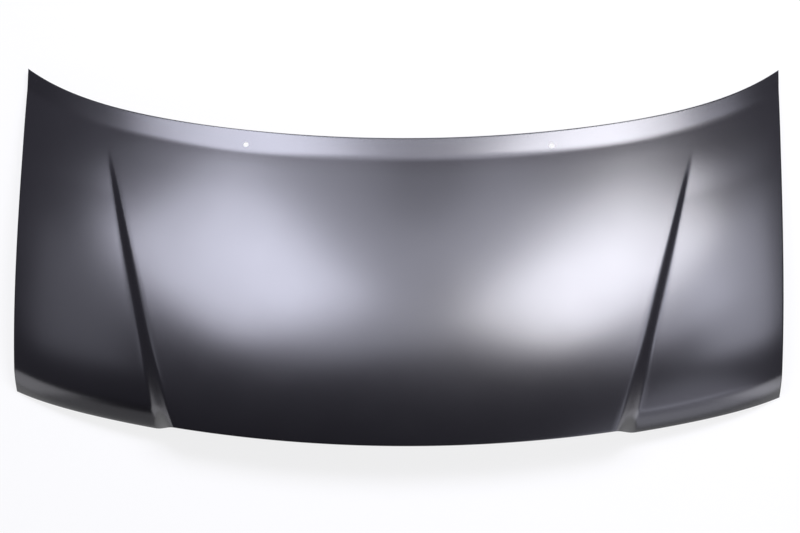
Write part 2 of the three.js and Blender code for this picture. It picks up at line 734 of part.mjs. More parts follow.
function strikerLoop(group, level) {
  const bend = LOOP_WIDE / 2;
  const footZ = -WIRE / 2;
  const foot = bend + LOOP_FOOT;
  const outline = [
    [-foot, footZ],
    [-foot + FOOT_FLAT, footZ],
    [-bend - WIRE * 0.375, footZ - WIRE * 0.25],
    [-bend, footZ - FOOT_BEND],
    [-bend, -LOOP_DROP + bend + WIRE],
    [-bend * 0.8, -LOOP_DROP + WIRE],
    [-bend * 0.4, -LOOP_DROP + WIRE / 8],
  ];
  const mirrored = outline.map(([x, z]) => [-x, z]).reverse();
  const path = [...outline, [0, -LOOP_DROP], ...mirrored].map(([x, z]) => new THREE.Vector3(x, 0, z));
  const circle = new THREE.Shape().absarc(0, 0, WIRE / 2, 0, 2 * Math.PI);
  const extrudePath = new THREE.CatmullRomCurve3(path);
  const sweep = { steps: WIRE_STEPS, curveSegments: WIRE_SIDES, bevelEnabled: false, extrudePath };
  const geometry = new THREE.ExtrudeGeometry(circle, sweep);
  addPart('striker_loop', geometry, zinc, group).position.z = level - FIT;
}

function latchStack() {
  const group = padGroup(pads.latch);
  const bores = [-1, 1].map((end) => [end * STRIKER_BOLT_SPACING / 2, 0, HOLE]);
  let level = -FRAME_SHEET - FIT;
  const cup = plateGeometry(LATCH_LONG, LATCH_WIDE, LATCH_THICK, LATCH_CORNER, bores);
  addPart('latch_reinforcement', cup, coat, group).position.z = level;
  level -= LATCH_THICK + FIT;
  const base = plateGeometry(STRIKER_LONG, STRIKER_WIDE, STRIKER_THICK, STRIKER_CORNER, bores);
  addPart('striker_plate', base, zinc, group).position.z = level;
  level -= STRIKER_THICK;
  strikerLoop(group, level);
  const shank = -level + FIT + NUT_HIGH + BOLT_REACH;
  for (const [tail, end] of [['left', -1], ['right', 1]]) {
    const x = end * STRIKER_BOLT_SPACING / 2;
    addPart(`striker_bolt_${tail}`, boltGeometry(shank), zinc, group).position.set(x, 0, level - FIT);
    weldNut(`striker_nut_${tail}`, x, group);
  }
}

function propSeat() {
  const plate = plateGeometry(PROP_LONG, PROP_WIDE, PROP_THICK, PROP_CORNER, [[0, 0, PROP_BORE]]);
  addPart('prop_rod_seat', plate, coat, padGroup(pads.prop)).position.z = -FRAME_SHEET - FIT;
}

// Mastic pad on a stretch of the flange round a cut-out
function masticPad(name, cellName, start, stretch) {
  const { outer, inner } = flangeRings[cellName];
  const points = [];
  const quads = [];
  for (let k = 0; k <= stretch; k += 1) {
    const m = (start + k) % outer.length;
    for (const share of [MASTIC_INSET, 1 - MASTIC_INSET]) {
      const p = outer[m].clone().lerp(inner[m], share);
      points.push(p.addScaledVector(normalAt(p.x, p.y), FIT + MASTIC_THICK));
    }
    if (k < stretch) {
      quads.push([2 * k, 2 * k + 2, 2 * k + 3, 2 * k + 1]);
    }
  }
  addPart(name, thicken(points, quads, MASTIC_THICK), mastic);
}

outerPanel();
innerFrame();
hingePlate(-1);
hingePlate(1);
latchStack();
propSeat();

const masticPlaces = { middle: [2, 11, 17, 26], front: [1, 10], rear: [6, 13], outer: [2, 17] };
for (const [k, start] of masticPlaces.middle.entries()) {
  masticPad(`mastic_middle_${k + 1}`, 'middle', start, 1);
}
for (const tail of ['left', 'right']) {
  for (const row of ['front', 'rear', 'outer']) {
    for (const [k, start] of masticPlaces[row].entries()) {
      masticPad(`mastic_${row}_${tail}_${k + 1}`, `${row}_${tail}`, start, 1);
    }
  }
}

// The hem's lowest corner stands on the ground
bonnet.updateMatrixWorld(true);
bonnet.position.z = -new THREE.Box3().setFromObject(bonnet, true).min.z;

export default bonnet;
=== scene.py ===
"""Car bonnet in satin black electro-coat, lying outer side up on a pale studio floor.

The fixed CAD frame is loaded first. The outer panel, the inner frame and the striker loop are made
anew as fine surfaces in the same place; the plates, nuts, bolts and mastic pads are kept.
Sizes are in metres: X to the right, Y towards the windscreen, Z up.
"""
import json
import math

import bpy
import numpy as np
from bpy.props import FloatProperty, FloatVectorProperty, IntProperty, PointerProperty
from mathutils import Matrix, Vector


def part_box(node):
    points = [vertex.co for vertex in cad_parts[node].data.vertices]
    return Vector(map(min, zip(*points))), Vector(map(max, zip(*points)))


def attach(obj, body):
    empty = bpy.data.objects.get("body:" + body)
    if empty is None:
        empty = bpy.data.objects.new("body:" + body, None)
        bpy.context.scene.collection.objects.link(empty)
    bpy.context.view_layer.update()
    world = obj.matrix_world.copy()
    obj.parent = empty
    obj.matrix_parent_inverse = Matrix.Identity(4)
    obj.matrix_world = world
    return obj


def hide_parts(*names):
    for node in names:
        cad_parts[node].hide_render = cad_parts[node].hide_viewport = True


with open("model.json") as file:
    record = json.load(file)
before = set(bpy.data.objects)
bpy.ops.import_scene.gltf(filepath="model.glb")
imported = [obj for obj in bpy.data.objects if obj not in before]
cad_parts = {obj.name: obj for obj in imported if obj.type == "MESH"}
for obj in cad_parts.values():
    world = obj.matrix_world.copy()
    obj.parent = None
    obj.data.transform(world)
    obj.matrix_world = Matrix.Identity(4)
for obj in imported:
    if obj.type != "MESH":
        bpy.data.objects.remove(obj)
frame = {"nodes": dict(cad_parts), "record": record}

bl_info = {
    "name": "Car bonnet",
    "version": (1, 0, 0),
    "blender": (4, 5, 0),
    "location": "View3D > Sidebar > Bonnet",
    "description": "Makes the bonnet's pressed sheets, its striker, its finishes and the studio",
    "category": "Object",
}

MM = 0.001
SHARP = math.radians(38)    # edges sharper than this stay crisp
BODY = "root"
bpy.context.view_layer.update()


# Colours

def linear(hex_colour):
    """sRGB hex colour as linear red, green, blue and alpha."""
    levels = [int(hex_colour[k:k + 2], 16) / 255 for k in (1, 3, 5)]
    turned = [level / 12.92 if level <= 0.04045 else ((level + 0.055) / 1.055) ** 2.4 for level in levels]
    return (*turned, 1.0)


# Sizes and colours that a user would change

def length(name, words, default):
    """A length in metres that the sidebar shows with its unit."""
    return FloatProperty(name=name, description=words, default=default, unit="LENGTH", subtype="DISTANCE",
                         precision=5)


def number(name, words, default):
    """A plain number such as a slope or a power."""
    return FloatProperty(name=name, description=words, default=default, precision=4)


def lamp(name, default):
    """How bright a softbox is."""
    return number(name, "Radiance of its face", default)


def colour(name, words, hex_colour):
    """A colour given as sRGB hex."""
    return FloatVectorProperty(name=name, description=words, default=linear(hex_colour), size=4,
                               subtype="COLOR", min=0.0, max=1.0)


class BonnetPlan(bpy.types.PropertyGroup):
    """Outline of the panel seen from above"""

    half_width: length("Half width", "Half the width across the rear corners", 0.750)
    long: length("Length", "Front edge's middle to the rear corners", 0.783)
    front_bow: length("Front bow", "How far the front edge sweeps back to its corners", 0.119)
    front_corner: length("Front corner", "Extra sweep of the last stretch at each front corner", 0.020)
    corner_power: number("Corner power", "How late that sweep sets in", 12.0)
    rear_sweep: length("Rear sweep", "Round part of the rear edge's hollow", 0.127)
    rear_horn: length("Rear horn", "Drawn-out part of the rear edge at the corners", 0.052)
    horn_power: number("Horn power", "How late the drawn-out part sets in", 7.0)
    side_taper: length("Side taper", "How much further in each side lies at the front", 0.041)
    wall_front: length("Wall front", "Half width of the raised middle at the front edge", 0.397)
    wall_rear: length("Wall rear", "Half width where the walls run out", 0.561525)
    wall_end: number("Wall end", "Share of the length at which the walls run out", 0.86)
    wall_wide: length("Wall wide", "Width of a wall at the front edge", 0.042)
    wall_narrow: length("Wall narrow", "Width of a wall where it runs out", 0.009)


class BonnetRelief(bpy.types.PropertyGroup):
    """Heights of the pressed surface"""

    lift: length("Ground lift", "Height of the hem's corners' level under the plan's zero", 0.0098649)
    crown: length("Crown", "Fall from the middle to the sides as one arch", 0.044)
    side_turn: length("Side turn", "Extra fall where the sides turn down", 0.0135)
    turn_power: number("Turn power", "How late that fall sets in", 8.0)
    nose_drop: length("Nose drop", "Fall of the nose at the front edge", 0.054)
    nose_reach: length("Nose reach", "Length over which the nose turns down", 0.162)
    rear_fall: number("Rear fall", "Slope down to the rear", 0.03)
    rear_bend: number("Rear bend", "Growth of that slope per metre", 0.09)
    strip_width: length("Strip width", "Strip behind the crease at the rear edge", 0.041)
    crease_soft: length("Crease softness", "Half the width of that crease's fillet", 0.008)
    strip_kick: number("Strip kick", "Slope by which that strip kicks up", 0.156)
    wall_steep: number("Wall steepness", "Height of a wall as a share of its width, along most of it", 0.25)
    front_steep: number("Front steepness", "Extra share at the front edge", 0.22)
    steep_reach: number("Steepness reach", "Share of the length over which that extra fades", 0.1)
    wall_fade: number("Wall fade", "Share over which a wall's height tails off where it runs out", 0.2)
    middle_lift: length("Middle lift", "Rise of the middle at the front edge", 0.0145)
    lift_power: number("Lift power", "How that rise fades to the rear", 1.6)
    dip_reach: length("Dip reach", "Length over which the dip beside a wall fades", 0.285)
    lip_drop: length("Lip drop", "Fall of the rolled lip at the front corners", 0.015)
    lip_reach: length("Lip reach", "Width of the rolled lip at the front corners", 0.038)
    lip_drop_in: length("Lip drop inside", "Fall of the lip beside the wall", 0.014)
    lip_reach_in: length("Lip reach inside", "Width of the lip beside the wall", 0.036)


class BonnetSheets(bpy.types.PropertyGroup):
    """Sheets, hem, ribs and holes"""

    skin: length("Skin", "Outer panel's sheet", 0.0008)
    frame_sheet: length("Frame sheet", "Inner frame's sheet", 0.0007)
    hem_return: length("Hem return", "Length of the folded-back flange", 0.011)
    hem_depth: length("Hem depth", "Outer height of the folded edge", 0.003)
    hem_nose: length("Hem nose", "How far the fold bulges out", 0.0015)
    sheet_gap: length("Sheet gap", "Clearance between sheets in the hem", 0.00035)
    first_ring: length("First ring", "Where the hem's flat ends, from the edge", 0.012)
    rim_floor: length("Rim floor", "Where the rim channel's floor starts", 0.026)
    rim_middle: length("Rim middle", "Middle line of the rim channel", 0.060)
    nose_row: length("Nose row", "Last line that follows the front edge", 0.150)
    rib_depth: length("Rib depth", "Depth of the ribs at the middle", 0.021)
    rib_depth_side: length("Rib depth at the sides", "Depth of the ribs at the side edges", 0.011)
    rib_half_floor: length("Rib half floor", "Half the width of a rib's floor", 0.018)
    rib_wall_run: length("Rib wall run", "Run of a rib's sloping wall", 0.010)
    rib_flange: length("Rib flange", "Flange round each cut-out", 0.014)
    flange_depth: length("Flange depth", "Depth of that flange under the skin", 0.004)
    press_radius: length("Press radius", "Softening of the pressed edges of a rib", 0.003)
    hinge_x: length("Hinge X", "Middle of a hinge pad from the middle", 0.638)
    hinge_in: length("Hinge in", "Middle of a hinge pad from the rear edge", 0.054)
    hinge_sink: length("Hinge sink", "How far a hinge pad is pressed down", 0.003)
    hinge_spacing: length("Hinge spacing", "Between the two bolts of a hinge", 0.054)
    prop_x: length("Prop X", "Prop-rod seat from the middle", 0.541)
    prop_in: length("Prop in", "Prop-rod seat from the front edge", 0.062)
    prop_sink: length("Prop sink", "How far the seat's pad is pressed down", 0.0025)
    prop_bore: length("Prop bore", "Prop-rod hole in the frame", 0.0147)
    latch_in: length("Latch in", "Middle of the latch pad from the front edge", 0.062)
    latch_depth: length("Latch depth", "Depth of the level latch pad under the skin", 0.037)
    latch_spacing: length("Latch spacing", "Between the striker's two bolts", 0.100)
    bolt_hole: length("Bolt hole", "Holes for the bolts", 0.0092)
    stop_x: length("Stop X", "Bump-stop holes from the middle", 0.610)
    stop_in: length("Stop in", "Bump-stop holes from the front edge", 0.066)
    stop_bore: length("Stop bore", "Bump-stop hole", 0.012)
    tooling_x: length("Tooling X", "Tooling holes from the middle", 0.110)
    tooling_in: length("Tooling in", "Tooling holes from the rear edge", 0.058)
    tooling_bore: length("Tooling bore", "Tooling hole", 0.020)
    jet_x: length("Jet X", "Washer-jet holes from the middle", 0.29475)
    jet_in: length("Jet in", "Washer-jet holes from the rear edge", 0.0295)
    jet_bore: length("Jet bore", "Washer-jet hole", 0.010)
    access_bore: length("Access bore", "Hole under each jet in the frame", 0.030)
    access_back: length("Access back", "How much nearer the rear edge that hole sits", 0.004)


class BonnetFinish(bpy.types.PropertyGroup):
    """Colours of the finishes and the studio"""

    coat: colour("Electro-coat", "Satin black epoxy electro-coat", "#111013")
    coat_worn: colour("Electro-coat, dry", "The same where the film is drier", "#151417")
    zinc_light: colour("Zinc, light", "Bright zinc plating", "#c3c4bf")
    zinc_dark: colour("Zinc, dark", "Zinc plating gone dull", "#8f9089")
    mastic: colour("Mastic", "Anti-flutter mastic", "#37373a")
    floor: colour("Floor", "Pale studio floor", "#f6f6f6")
    clear_light: colour("Clear light", "Covers of the right, the front and the low softboxes", "#f8f7ff")
    cool_light: colour("Cool light", "Covers of the other softboxes", "#ebecff")
    room_light: colour("Room light", "Weak light from the room's walls", "#e8e4ff")


class BonnetStudio(bpy.types.PropertyGroup):
    """Lamps and camera"""

    right_level: lamp("Tall right softbox", 10.6)
    left_level: lamp("Left softbox", 8.5)
    middle_level: lamp("Weak softbox between them", 2.25)
    wide_level: lamp("Wide softbox behind the right one", 2.85)
    side_level: lamp("Softbox at the right side", 3.2)
    left_side_level: lamp("Softbox at the left side", 0.75)
    front_level: lamp("Wide low softbox in front", 0.43)
    corner_level: lamp("Softbox at the right front corner", 1.05)
    right_front_level: lamp("Softbox over the right front", 1.2)
    low_right_level: lamp("Low softbox for the right wall's end", 1.8)
    low_left_level: lamp("Low softbox for the left wall's end", 1.4)
    room_level: number("Room level", "Strength of the room's light", 0.11)
    room_tilt: number("Room tilt", "How much brighter the room is behind the bonnet than in front", 1.5)
    shadow_share: number("Shadow share", "How strongly the floor shows shadows", 0.2)
    lens: number("Lens", "Focal length in millimetres on a 36 mm sensor", 70.0)
    side_angle: number("Side angle", "Camera to the right of the middle, in degrees", 4.937)
    elevation: number("Elevation", "Camera above the ground, in degrees", 70.0)
    roll: number("Roll", "Camera's roll in degrees", -4.321)
    distance: length("Distance", "Camera to its target", 2.9452)
    aim: FloatVectorProperty(name="Aim", description="Point that the camera looks at", unit="LENGTH",
                             subtype="XYZ", precision=4, default=(0.0057, -0.0345, 0.0349))


class BonnetGrid(bpy.types.PropertyGroup):
    """Fineness of the surfaces"""

    dome_columns: IntProperty(name="Dome columns", description="From the middle to a wall", default=54)
    wall_columns: IntProperty(name="Wall columns", description="Across a wall", default=14)
    side_columns: IntProperty(name="Side columns", description="From a wall to the rim", default=26)
    rim_columns: IntProperty(name="Rim columns", description="Across the rim", default=24)
    nose_rows: IntProperty(name="Nose rows", description="Along the nose", default=20)
    middle_rows: IntProperty(name="Middle rows", description="From the nose to the rear rim", default=80)


def group(name):
    """One group of the sidebar's values."""
    return getattr(bpy.context.scene, f"bonnet_{name}")


# Shape of the panel: every function takes whole arrays

def lerp(a, b, share):
    """Value at a share of the way from a to b."""
    return a + (b - a) * share


def smooth(share):
    """Smooth step: 3 s squared minus 2 s cubed, for shares from 0 to 1."""
    held = np.clip(share, 0.0, 1.0)
    return held * held * (3.0 - 2.0 * held)


def front_edge(x):
    """Front edge: minus half the length, plus the bow times u squared, plus the late corner sweep."""
    plan = group("plan")
    u = np.abs(x) / plan.half_width
    return -plan.long / 2 + plan.front_bow * u ** 2 + plan.front_corner * u ** plan.corner_power


def rear_edge(x):
    """Rear edge: half the length less a round hollow and the late drawn-out corners."""
    plan = group("plan")
    u = np.abs(x) / plan.half_width
    return plan.long / 2 - plan.rear_sweep * (1 - u ** 2) - plan.rear_horn * (1 - u ** plan.horn_power)


def half_width(v):
    """Half width at a share v of the length: full at the rear, tapered evenly to the front."""
    plan = group("plan")
    return plan.half_width - plan.side_taper * (1 - v)


def wall_top(v):
    """Half width of the raised middle, straight from the front edge to where the wall runs out."""
    plan = group("plan")
    return lerp(plan.wall_front, plan.wall_rear, np.minimum(v / plan.wall_end, 1.0))


def wall_foot(v):
    """Outer foot of the wall: its top plus its narrowing width."""
    plan = group("plan")
    return wall_top(v) + lerp(plan.wall_wide, plan.wall_narrow, np.minimum(v / plan.wall_end, 1.0))


def length_share(x, y):
    """Share of the way from the front edge to the rear edge."""
    front = front_edge(x)
    return np.clip((y - front) / (rear_edge(x) - front), 0.0, 1.0)


def height(x, y):
    """Height of the outer surface over a plan point.

    An arch across, a nose that falls exponentially along with a parabola behind it, a raised middle
    with a smooth-step wall each side that both fade to the rear, a dip beside the wall that fades
    exponentially, a rolled lip along the front of each side, and a strip at the rear edge that kicks up
    through a parabolic fillet.
    """
    plan = group("plan")
    form = group("relief")
    a = np.abs(x)
    u = a / plan.half_width
    d = y - front_edge(x)
    to_rear = rear_edge(x) - y
    v = length_share(x, y)
    arch = form.crown * (1 - u ** 2) + form.side_turn * (1 - u ** form.turn_power)
    nose = form.nose_drop * (1 - np.exp(-d / form.nose_reach))
    along = nose - form.rear_fall * d - form.rear_bend * d * d
    left = np.clip(1 - v / plan.wall_end, 0.0, 1.0)
    lift = form.middle_lift * left ** form.lift_power
    top = wall_top(v)
    foot = wall_foot(v)
    steep = form.wall_steep + form.front_steep * np.exp(-v / form.steep_reach)
    wall = steep * (foot - top) * smooth(left / form.wall_fade)
    across = smooth((a - top) / (foot - top))
    beside = (lift - wall) * np.exp(-np.maximum(a - foot, 0.0) / form.dip_reach)
    relief = np.where(across < 1, lift - wall * across, beside)
    out = np.clip((a - foot) / (half_width(v) - foot), 0.0, 1.0)
    reach = lerp(form.lip_reach_in, form.lip_reach, out)
    lip = lerp(form.lip_drop_in, form.lip_drop, out) * np.clip(1 - d / reach, 0.0, 1.0) ** 2 * across
    behind = form.strip_width - to_rear
    fillet = np.clip(behind + form.crease_soft, 0.0, 2 * form.crease_soft) ** 2 / (4 * form.crease_soft)
    kick = form.strip_kick * (fillet + np.maximum(behind - form.crease_soft, 0.0))
    return form.lift + arch + along + relief - lip + kick


def normals_at(x, y):
    """Unit normals of the outer surface, from central differences."""
    step = 1.5 * MM
    slope_x = (height(x + step, y) - height(x - step, y)) / (2 * step)
    slope_y = (height(x, y + step) - height(x, y - step)) / (2 * step)
    normals = np.stack([-slope_x, -slope_y, np.ones_like(slope_x)], axis=-1)
    return normals / np.linalg.norm(normals, axis=-1, keepdims=True)


def on_skin(x, y):
    """Points on the outer surface."""
    return np.stack([x, y, height(x, y)], axis=-1)


# Grids and meshes

def spans(stops, counts):
    """Coordinates that split each span between two stops into equal steps."""
    parts = [np.linspace(a, b, count, endpoint=False) for a, b, count in zip(stops[:-1], stops[1:], counts)]
    return np.concatenate([*parts, [stops[-1]]])


def between_stops(stops, coordinate):
    """Value at a running coordinate: 0 at the first stop, 1 at the second, straight between them."""
    k = np.minimum(coordinate.astype(int), len(stops) - 2)
    low = np.take_along_axis(stops, k[None], axis=0)[0]
    high = np.take_along_axis(stops, k[None] + 1, axis=0)[0]
    return lerp(low, high, coordinate - k)


def plan_points(columns, rows, insets):
    """Plan points where columns cross rows, found by a few rounds of substitution.

    A column's coordinate runs from the middle over the wall's top and foot to the side's insets. A
    row's runs over the front's insets, the nose line and the rear's insets.
    """
    sheets = group("sheets")
    rounds = 14
    c, r = np.meshgrid(columns, rows)
    v = (r - r.min()) / (r.max() - r.min())
    for _ in range(rounds):
        side = half_width(v)
        stops_x = np.stack([0 * v, wall_top(v), wall_foot(v), *[side - inset for inset in insets]])
        x = np.sign(c) * between_stops(stops_x, np.abs(c))
        front = front_edge(x)
        rear = rear_edge(x)
        stops_y = np.stack([*[front + inset for inset in reversed(insets)], front + sheets.nose_row,
                            *[rear - inset for inset in insets]])
        y = between_stops(stops_y, r)
        v = np.clip((y - front) / (rear - front), 0.0, 1.0)
    return x, y


def grid_quads(ids):
    """Quads of a grid of vertex numbers, facing the side from which the grid runs anticlockwise."""
    return np.stack([ids[:-1, :-1], ids[:-1, 1:], ids[1:, 1:], ids[1:, :-1]], axis=-1).reshape(-1, 4)


def rim_of(grid):
    """Values round the border of a grid, anticlockwise from its first corner."""
    return np.concatenate([grid[0, :-1], grid[:-1, -1], grid[-1, :0:-1], grid[:0:-1, 0]])


def loop_quads(outer, inner):
    """Quads between two closed loops of vertex numbers, the inner one on the left of the outer."""
    return np.stack([outer, np.roll(outer, -1), np.roll(inner, -1), inner], axis=-1)


def new_mesh(name, points, faces):
    """Object from arrays of points and faces, shaded smooth."""
    mesh = bpy.data.meshes.new(name)
    mesh.from_pydata(np.asarray(points).tolist(), [], [list(map(int, face)) for face in faces])
    mesh.update()
    mesh.polygons.foreach_set("use_smooth", np.ones(len(mesh.polygons), dtype=bool))
    piece = bpy.data.objects.new(name, mesh)
    bpy.context.scene.collection.objects.link(piece)
    return piece


def settled(piece):
    """The piece with its modifiers worked into a plain mesh."""
    depsgraph = bpy.context.evaluated_depsgraph_get()
    made = bpy.data.meshes.new_from_object(piece.evaluated_get(depsgraph))
    made.name = piece.name
    rough = piece.data
    piece.modifiers.clear()
    piece.data = made
    bpy.data.meshes.remove(rough)
    return piece


def loose_points_out(piece):
    """Takes out the points that no face uses."""
    mesh = piece.data
    used = np.zeros(len(mesh.vertices), dtype=bool)
    corners = np.empty(len(mesh.loops), dtype=np.int32)
    mesh.loops.foreach_get("vertex_index", corners)
    used[corners] = True
    places = np.empty(len(mesh.vertices) * 3)
    mesh.vertices.foreach_get("co", places)
    fresh = np.cumsum(used) - 1
    faces = fresh[corners].reshape(-1, 4)
    tidy = bpy.data.meshes.new(mesh.name)
    tidy.from_pydata(places.reshape(-1, 3)[used].tolist(), [], faces.tolist())
    tidy.update()
    tidy.polygons.foreach_set("use_smooth", np.ones(len(tidy.polygons), dtype=bool))
    piece.data = tidy
    bpy.data.meshes.remove(mesh)


def drills(holes, sides=40):
    """Closed round cutters in one object; each hole is a centre, a direction, a bore and a reach.

    Ring point: centre plus radius times cosine and sine along two directions square to the axis.
    """
    angles = np.linspace(0, 2 * math.pi, sides, endpoint=False)
    points = []
    faces = []
    for centre, direction, bore, reach in holes:
        axis = np.array(direction) / np.linalg.norm(direction)
        across = np.cross(axis, [0.0, 1.0, 0.0])
        across /= np.linalg.norm(across)
        over = np.cross(axis, across)
        ring = bore / 2 * (np.cos(angles)[:, None] * across + np.sin(angles)[:, None] * over)
        start = len(points) * sides
        points += [np.array(centre) + ring - axis * reach / 2, np.array(centre) + ring + axis * reach / 2]
        low = start + np.arange(sides)
        high = low + sides
        faces += loop_quads(low, high).tolist()
        faces += [low[::-1].tolist(), high.tolist()]
    return new_mesh("drills", np.concatenate(points), faces)


def drilled_sheet(piece, thickness, holes):
    """Gives a surface its thickness inwards, bores the holes and splits its sharp edges."""
    cutter = drills(holes)
    solid = piece.modifiers.new("Thickness", "SOLIDIFY")
    solid.thickness = thickness
    solid.offset = -1.0
    bore = piece.modifiers.new("Bore", "BOOLEAN")
    bore.operation = "DIFFERENCE"
    bore.solver = "MANIFOLD"
    bore.object = cutter
    split = piece.modifiers.new("Edges", "EDGE_SPLIT")
    split.split_angle = SHARP
    settled(piece)
    bpy.data.objects.remove(cutter)
    return piece


def seat(piece, slot_name, *nodes):
    """The piece rides on the bonnet and stands for its CAD nodes; the slot name is not used."""
    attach(piece, BODY)
    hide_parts(*nodes)


# Outer panel

def hem_loop(x, y, inset, depth):
    """Points of the folded edge: from the edge towards the first ring by the inset, then inwards.

    The depth is measured square to the skin halfway between the edge and the ring.
    """
    sheets = group("sheets")
    ring_in = sheets.first_ring
    v = length_share(x, y)
    limit = half_width(v) - ring_in
    ring_x = np.clip(x, -limit, limit)
    ring_y = np.clip(y, front_edge(ring_x) + ring_in, rear_edge(ring_x) - ring_in)
    edge = on_skin(x, y)
    ring = on_skin(ring_x, ring_y)
    middle = (edge + ring) / 2
    normals = normals_at(middle[:, 0], middle[:, 1])
    return edge + (ring - edge) * inset / ring_in - normals * depth


def jet_point(side):
    """Middle of a washer-jet hole on the outer surface."""
    sheets = group("sheets")
    x = np.array(side * sheets.jet_x)
    y = rear_edge(x) - sheets.jet_in
    return on_skin(x, y)


def make_outer_panel():
    """Fine grid over the outline, then a half-round fold and the flange folded back under it."""
    sheets = group("sheets")
    fine = group("grid")
    across = [fine.dome_columns, fine.wall_columns, fine.side_columns, fine.rim_columns]
    side = spans([0, 1, 2, 3, 4], across)
    columns = np.concatenate([-side[:0:-1], side])
    rows = spans([0, 1, 2, 3, 4], [fine.rim_columns, fine.nose_rows, fine.middle_rows, fine.rim_columns])
    x, y = plan_points(columns, rows, [sheets.rim_middle, 0.0])
    ids = np.arange(x.size).reshape(x.shape)
    points = [on_skin(x, y).reshape(-1, 3)]
    quads = [grid_quads(ids)]
    rim_x = rim_of(x)
    rim_y = rim_of(y)
    last = rim_of(ids)
    fold_steps = 6
    flange_shares = (0.25, 0.6, 1.0)
    angles = np.linspace(0, math.pi, fold_steps + 1)[1:]
    fold = [(-sheets.hem_nose * math.sin(a), sheets.hem_depth * (1 - math.cos(a)) / 2) for a in angles]
    flange = [(sheets.hem_return * share, sheets.hem_depth) for share in flange_shares]
    count = x.size
    for inset, depth in fold + flange:
        points.append(hem_loop(rim_x, rim_y, inset, depth))
        following = count + np.arange(len(last))
        quads.append(loop_quads(following, last))
        last = following
        count += len(last)
    panel = new_mesh("electro_coated_outer_panel", np.concatenate(points), np.concatenate(quads))
    through = 0.03
    holes = [(jet_point(end), (0, 0, 1), sheets.jet_bore, through) for end in (-1, 1)]
    drilled_sheet(panel, sheets.skin, holes)
    seat(panel, "coat", "outer_panel")
    return panel


# Inner frame

# Grid coordinates of the middles of the ribs and of the rim channel, where the cells meet
RIB_COLUMN = 3 / 7
RIB_ROW = 4 + 1 / 3
RIM_COLUMN = 3
FRONT_ROW = 3
REAR_ROW = 5


class Pad:
    """Flat pad pressed into the frame: a point, a normal, half sizes and the width of its fade."""

    def __init__(self, point, normal, half_x, half_y, fade):
        self.point = point
        self.normal = normal
        self.half_x = half_x
        self.half_y = half_y
        self.fade = fade

    def press(self, x, y, z, share):
        """Moves heights towards the pad's plane, wholly inside it and not at all outside its fade."""
        out_x = (np.abs(x - self.point[0]) - self.half_x) / self.fade
        out_y = (np.abs(y - self.point[1]) - self.half_y) / self.fade
        amount = (1 - smooth(out_x)) * (1 - smooth(out_y)) * share
        fall = self.normal[0] * (x - self.point[0]) + self.normal[1] * (y - self.point[1])
        return lerp(z, self.point[2] - fall / self.normal[2], amount)


def rib_depth(x):
    """Depth of the channels under the skin: deep in the middle, shallow at the sides."""
    plan = group("plan")
    sheets = group("sheets")
    return lerp(sheets.rib_depth, sheets.rib_depth_side, np.minimum((x / plan.half_width) ** 2, 1.0))


def tangent_pad(x, y, sink, half_x, half_y, fade):
    """Pad parallel to the skin over it, sunk a little below the channel's floor."""
    normal = normals_at(np.array(x), np.array(y))
    z = height(x, y) - (rib_depth(x) + sink) / normal[2]
    return Pad(np.array([x, y, z]), normal, half_x, half_y, fade)


def pressed_pads():
    """Pads for the two hinge plates, the prop-rod seat and the latch: place, half sizes and fade."""
    sheets = group("sheets")
    hinge_size = (0.066, 0.042, 0.034)
    prop_size = (0.042, 0.028, 0.030)
    latch_size = (0.092, 0.046, 0.040)
    pads = {}
    y = rear_edge(sheets.hinge_x) - sheets.hinge_in
    for tail, side in (("left", -1), ("right", 1)):
        pads[tail] = tangent_pad(side * sheets.hinge_x, y, sheets.hinge_sink, *hinge_size)
    y = front_edge(sheets.prop_x) + sheets.prop_in
    pads["prop"] = tangent_pad(-sheets.prop_x, y, sheets.prop_sink, *prop_size)
    y = front_edge(0.0) + sheets.latch_in
    level = height(np.array(0.0), np.array(y)) - sheets.latch_depth
    pads["latch"] = Pad(np.array([0.0, y, level]), np.array([0.0, 0.0, 1.0]), *latch_size)
    return pads


def frame_surface(x, y, depth, floor_share, pads):
    """Points of the frame: under the skin by the hem's clearance square to it, then straight down.

    The rest of the depth is divided by the normal's Z, so that it too is square to the skin. Pads are
    pressed in by the share of the point that belongs to a channel's floor.
    """
    sheets = group("sheets")
    least_rise = 0.4
    normals = normals_at(x, y)
    close = np.minimum(sheets.skin + sheets.sheet_gap, depth)
    points = on_skin(x, y) - normals * close[..., None]
    points[..., 2] -= (depth - close) / np.maximum(normals[..., 2], least_rise)
    for pad in pads.values():
        points[..., 2] = pad.press(points[..., 0], points[..., 1], points[..., 2], floor_share)
    return points


def bilinear(corners, a, b):
    """Point inside four corners, at shares a across and b along."""
    low = lerp(corners[0], corners[1], a[:, None])
    high = lerp(corners[3], corners[2], a[:, None])
    return lerp(low, high, b[:, None])


